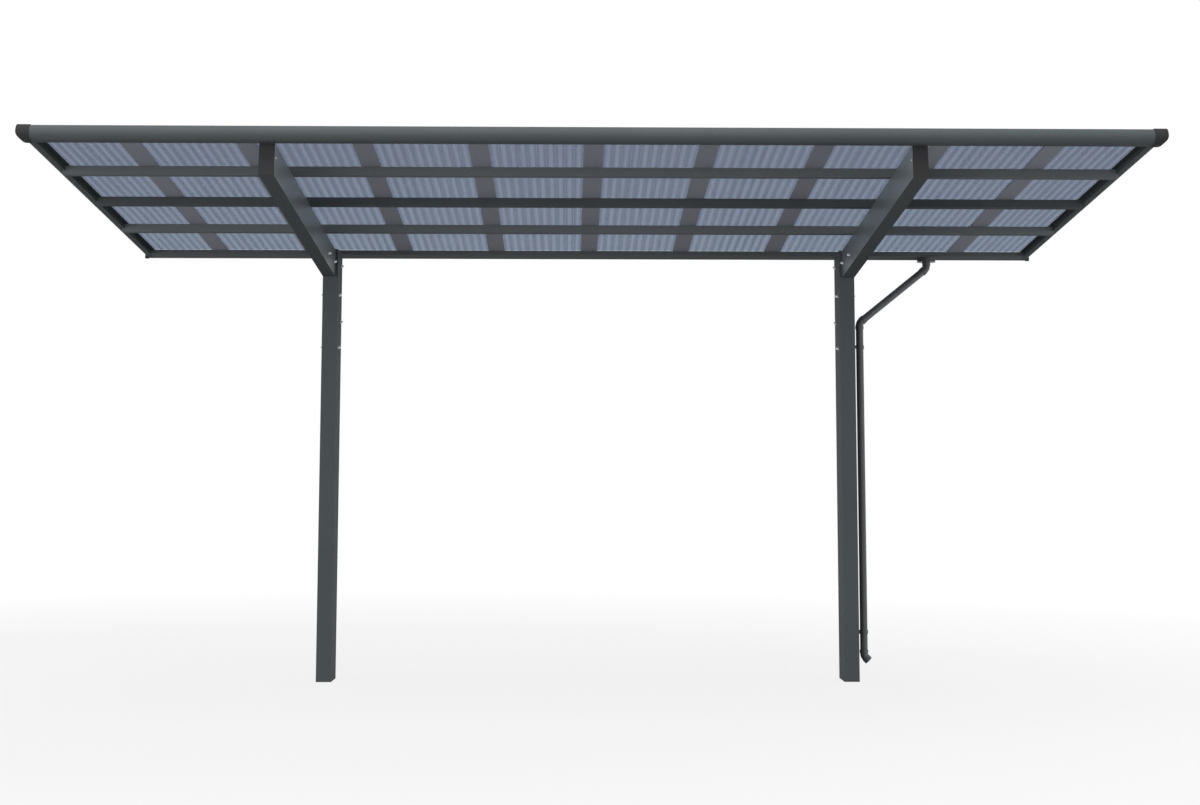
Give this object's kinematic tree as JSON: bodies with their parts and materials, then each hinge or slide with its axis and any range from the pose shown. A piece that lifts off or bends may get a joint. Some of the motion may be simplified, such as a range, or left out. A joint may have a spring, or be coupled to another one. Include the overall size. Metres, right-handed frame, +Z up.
{
  "type": "cantilever carport",
  "caption": "Open cantilever carport: rear posts carry forward arms, purlins and a sloping roof of translucent ribbed sheets, with an edge beam, a rear gutter and a downpipe.",
  "frame": {"origin": "middle of the left post's foot, on the ground", "axes": "+X runs along the gutter from the left post to the right one, +Y points to the back of the carport, +Z is up"},
  "size_m": [4.88, 2.5949, 2.5451],
  "materials": {
    "frame_paint": "satin anthracite powder coat",
    "cap_plastic": "moulded brown-black plastic",
    "roof_sheet": "tinted translucent multiwall polycarbonate",
    "strip_paint": "grey coated aluminium joint strips",
    "pipe_plastic": "anthracite plastic pipe"
  },
  "bodies": {
    "root": {"left_post": "frame_paint", "right_post": "frame_paint", "left_arm": "frame_paint", "right_arm": "frame_paint", "front_purlin": "frame_paint", "middle_purlin": "frame_paint", "rear_purlin": "frame_paint", "front_beam": "frame_paint", "side_rail_left": "frame_paint", "side_rail_right": "frame_paint", "rear_rail": "frame_paint", "gutter_floor": "frame_paint", "gutter_back": "frame_paint", "left_arm_cap": "cap_plastic", "right_arm_cap": "cap_plastic", "front_corner_left": "cap_plastic", "front_corner_right": "cap_plastic", "rear_corner_left": "cap_plastic", "rear_corner_right": "cap_plastic", "gutter_outlet": "pipe_plastic", "upper_bend": "pipe_plastic", "slanted_pipe": "pipe_plastic", "lower_bend": "pipe_plastic", "downpipe": "pipe_plastic", "pipe_shoe": "pipe_plastic", "pipe_clamps": "pipe_plastic", "roof_sheet_1": "roof_sheet", "roof_sheet_2": "roof_sheet", "roof_sheet_3": "roof_sheet", "roof_sheet_4": "roof_sheet", "roof_sheet_5": "roof_sheet", "roof_sheet_6": "roof_sheet", "roof_sheet_7": "roof_sheet", "roof_sheet_8": "roof_sheet", "roof_sheet_9": "roof_sheet", "roof_sheet_10": "roof_sheet", "joint_strip_1": "strip_paint", "joint_strip_2": "strip_paint", "joint_strip_3": "strip_paint", "joint_strip_4": "strip_paint", "joint_strip_5": "strip_paint", "joint_strip_6": "strip_paint", "joint_strip_7": "strip_paint", "joint_strip_8": "strip_paint", "joint_strip_9": "strip_paint"}
  },
  "joints": []
}
